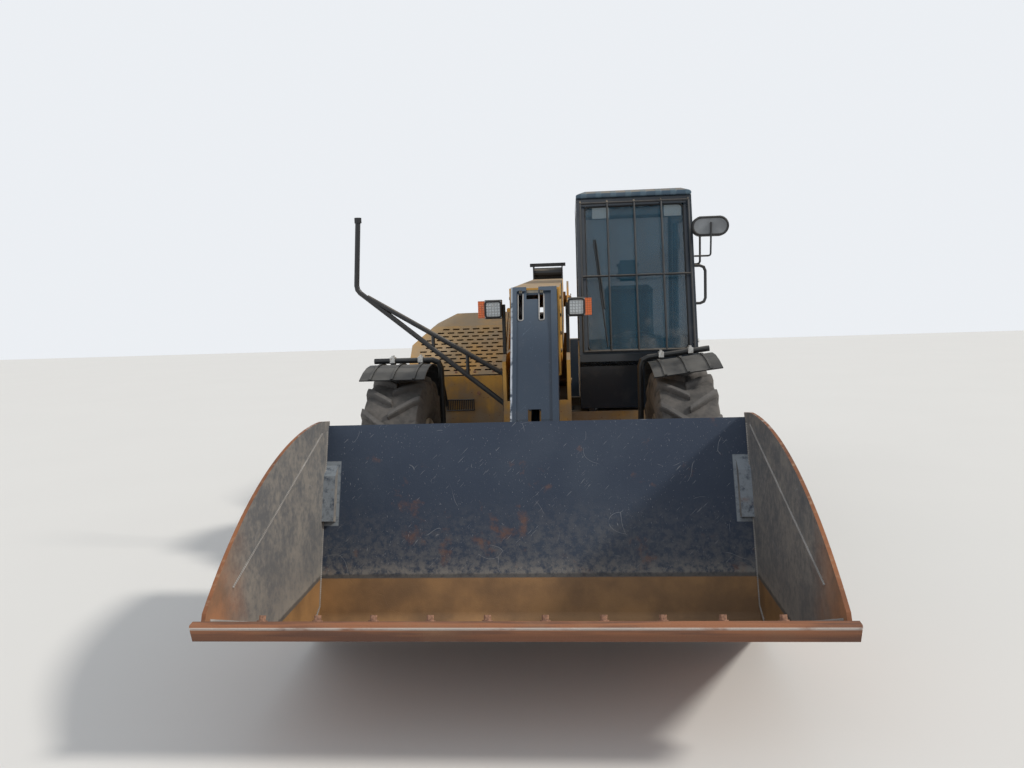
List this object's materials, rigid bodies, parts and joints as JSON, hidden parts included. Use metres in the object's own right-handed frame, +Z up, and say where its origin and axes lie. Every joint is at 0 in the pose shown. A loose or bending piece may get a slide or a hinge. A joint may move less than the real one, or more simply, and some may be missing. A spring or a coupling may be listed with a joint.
{
  "type": "telescopic wheel loader",
  "caption": "Telescopic wheel loader: four steered wheels, side cab, central telescopic boom with gooseneck nose, slotted engine cover and a wide deep bucket.",
  "frame": {"origin": "on the ground, under the middle of the machine's outer box", "axes": "+Z up, -Y forwards to the bucket, +X towards the cab side"},
  "size_m": [2.6273, 6.2899, 2.5698],
  "materials": {
    "yellow_paint": "faded and dusty",
    "dark_paint": "worn",
    "cab_paint": "semi-gloss, dusty",
    "bucket_rust": "rusted through the paint",
    "edge_steel": "worn bare and rusty",
    "cast_parts": "dusty",
    "rod_steel": "polished",
    "tyre_rubber": "dusty",
    "rim_paint": "dusty",
    "black_plastic": "faded",
    "slide_plastic": "smooth",
    "pane": "clear, dusty",
    "lamp_pane": "clear",
    "orange_lens": "translucent",
    "red_lens": "translucent",
    "seat_cloth": "matt"
  },
  "bodies": {
    "machine": {"chassis_frame": "yellow_paint", "counterweight": "dark_paint", "axle_front": "cast_parts", "axle_rear": "cast_parts", "drive_line": "cast_parts", "engine_block": "cast_parts", "engine_skirt": "yellow_paint", "fuel_tank": "dark_paint", "hydraulic_tank": "dark_paint", "cab_shell": "cab_paint", "cab_roof": "cab_paint", "cab_glass": "pane", "cab_door_hinges": "cab_paint", "windscreen_guard": "dark_paint", "seat_frame": "black_plastic", "seat_cushion": "seat_cloth", "steering_column": "black_plastic", "mirror_ladder": "dark_paint", "cab_mirror": "black_plastic", "grab_handle": "dark_paint", "headlamp_housings": "black_plastic", "headlamp_lenses": "lamp_pane", "indicator_lenses": "orange_lens", "rear_lamps": "red_lens", "tow_hitch": "cast_parts", "work_lamps": "black_plastic"},
    "boom_outer": {"boom_outer_tube": "yellow_paint", "boom_slide_pads": "slide_plastic", "hose_guide": "dark_paint"},
    "boom_inner": {"boom_inner_nose": "dark_paint"},
    "bucket": {"bucket_shell": "bucket_rust", "cutting_edge": "edge_steel", "bucket_carriage": "dark_paint"},
    "lift_barrel": {"lift_barrel": "dark_paint"},
    "lift_rod": {"lift_rod": "rod_steel"},
    "tilt_barrel": {"tilt_barrel": "dark_paint"},
    "tilt_rod": {"tilt_rod": "rod_steel"},
    "door": {"cab_door": "cab_paint", "cab_door_glass": "pane"},
    "cover": {"engine_cover": "yellow_paint"},
    "steer_front_right": {"knuckle_front_right": "cast_parts", "mudguard_front_right": "black_plastic"},
    "wheel_front_right": {"tyre_front_right": "tyre_rubber", "rim_front_right": "rim_paint"},
    "steer_front_left": {"knuckle_front_left": "cast_parts", "mudguard_front_left": "black_plastic"},
    "wheel_front_left": {"tyre_front_left": "tyre_rubber", "rim_front_left": "rim_paint"},
    "steer_rear_right": {"knuckle_rear_right": "cast_parts", "mudguard_rear_right": "black_plastic"},
    "wheel_rear_right": {"tyre_rear_right": "tyre_rubber", "rim_rear_right": "rim_paint"},
    "steer_rear_left": {"knuckle_rear_left": "cast_parts", "mudguard_rear_left": "black_plastic"},
    "wheel_rear_left": {"tyre_rear_left": "tyre_rubber", "rim_rear_left": "rim_paint"}
  },
  "joints": [
    {"name": "boom_lift", "type": "hinge", "parent": "machine", "child": "boom_outer", "pos_m": [-0.087, 2.566, 1.76], "axis": [-1, 0, 0], "range_deg": [0, 62]},
    {"name": "boom_extend", "type": "slide", "parent": "boom_outer", "child": "boom_inner", "axis": [0, -0.9986, -0.0523], "range_m": [0, 2.4]},
    {"name": "bucket_tilt", "type": "hinge", "parent": "boom_inner", "child": "bucket", "pos_m": [-0.087, -1.544, 0.39], "axis": [1, 0, 0], "range_deg": [-12, 70]},
    {"name": "lift_barrel_turn", "type": "hinge", "parent": "machine", "child": "lift_barrel", "pos_m": [-0.087, 2.616, 0.884], "axis": [-1, 0, 0], "range_deg": [-1, 47]},
    {"name": "lift_rod_slide", "type": "slide", "parent": "lift_barrel", "child": "lift_rod", "axis": [0, -0.9721, 0.2347], "range_m": [-0.005, 0.708]},
    {"name": "tilt_barrel_turn", "type": "hinge", "parent": "boom_inner", "child": "tilt_barrel", "pos_m": [-0.087, -0.844, 1.47], "axis": [1, 0, 0], "range_deg": [-8, 2]},
    {"name": "tilt_rod_slide", "type": "slide", "parent": "tilt_barrel", "child": "tilt_rod", "axis": [0, -0.6319, -0.7751], "range_m": [-0.059, 0.321]},
    {"name": "door_hinge", "type": "hinge", "parent": "machine", "child": "door", "pos_m": [1.102, 1.2865, 1.7], "axis": [0, 0, 1], "range_deg": [0, 90]},
    {"name": "cover_hinge", "type": "hinge", "parent": "machine", "child": "cover", "pos_m": [-0.397, 1.216, 1.67], "axis": [0, 1, 0], "range_deg": [0, 55]},
    {"name": "steer_front_right", "type": "hinge", "parent": "machine", "child": "steer_front_right", "pos_m": [0.603, -0.484, 0.62], "axis": [0, 0, 1], "range_deg": [-30, 30]},
    {"name": "wheel_front_right", "type": "hinge", "parent": "steer_front_right", "child": "wheel_front_right", "pos_m": [0.858, -0.484, 0.62], "axis": [1, 0, 0], "continuous": true},
    {"name": "steer_front_left", "type": "hinge", "parent": "machine", "child": "steer_front_left", "pos_m": [-0.777, -0.484, 0.62], "axis": [0, 0, 1], "range_deg": [-30, 30]},
    {"name": "wheel_front_left", "type": "hinge", "parent": "steer_front_left", "child": "wheel_front_left", "pos_m": [-1.032, -0.484, 0.62], "axis": [1, 0, 0], "continuous": true},
    {"name": "steer_rear_right", "type": "hinge", "parent": "machine", "child": "steer_rear_right", "pos_m": [0.603, 2.266, 0.62], "axis": [0, 0, 1], "range_deg": [-30, 30]},
    {"name": "wheel_rear_right", "type": "hinge", "parent": "steer_rear_right", "child": "wheel_rear_right", "pos_m": [0.858, 2.266, 0.62], "axis": [1, 0, 0], "continuous": true},
    {"name": "steer_rear_left", "type": "hinge", "parent": "machine", "child": "steer_rear_left", "pos_m": [-0.777, 2.266, 0.62], "axis": [0, 0, 1], "range_deg": [-30, 30]},
    {"name": "wheel_rear_left", "type": "hinge", "parent": "steer_rear_left", "child": "wheel_rear_left", "pos_m": [-1.032, 2.266, 0.62], "axis": [1, 0, 0], "continuous": true}
  ],
  "couplings": [
    {"joint": "lift_barrel_turn", "follows": "boom_lift", "ratio": 0.73591},
    {"joint": "lift_rod_slide", "follows": "boom_lift", "m_per_rad": 0.64968},
    {"joint": "tilt_barrel_turn", "follows": "bucket_tilt", "ratio": -0.09779},
    {"joint": "tilt_rod_slide", "follows": "bucket_tilt", "m_per_rad": 0.25892},
    {"joint": "steer_front_left", "follows": "steer_front_right", "ratio": 1},
    {"joint": "steer_rear_left", "follows": "steer_rear_right", "ratio": 1}
  ]
}
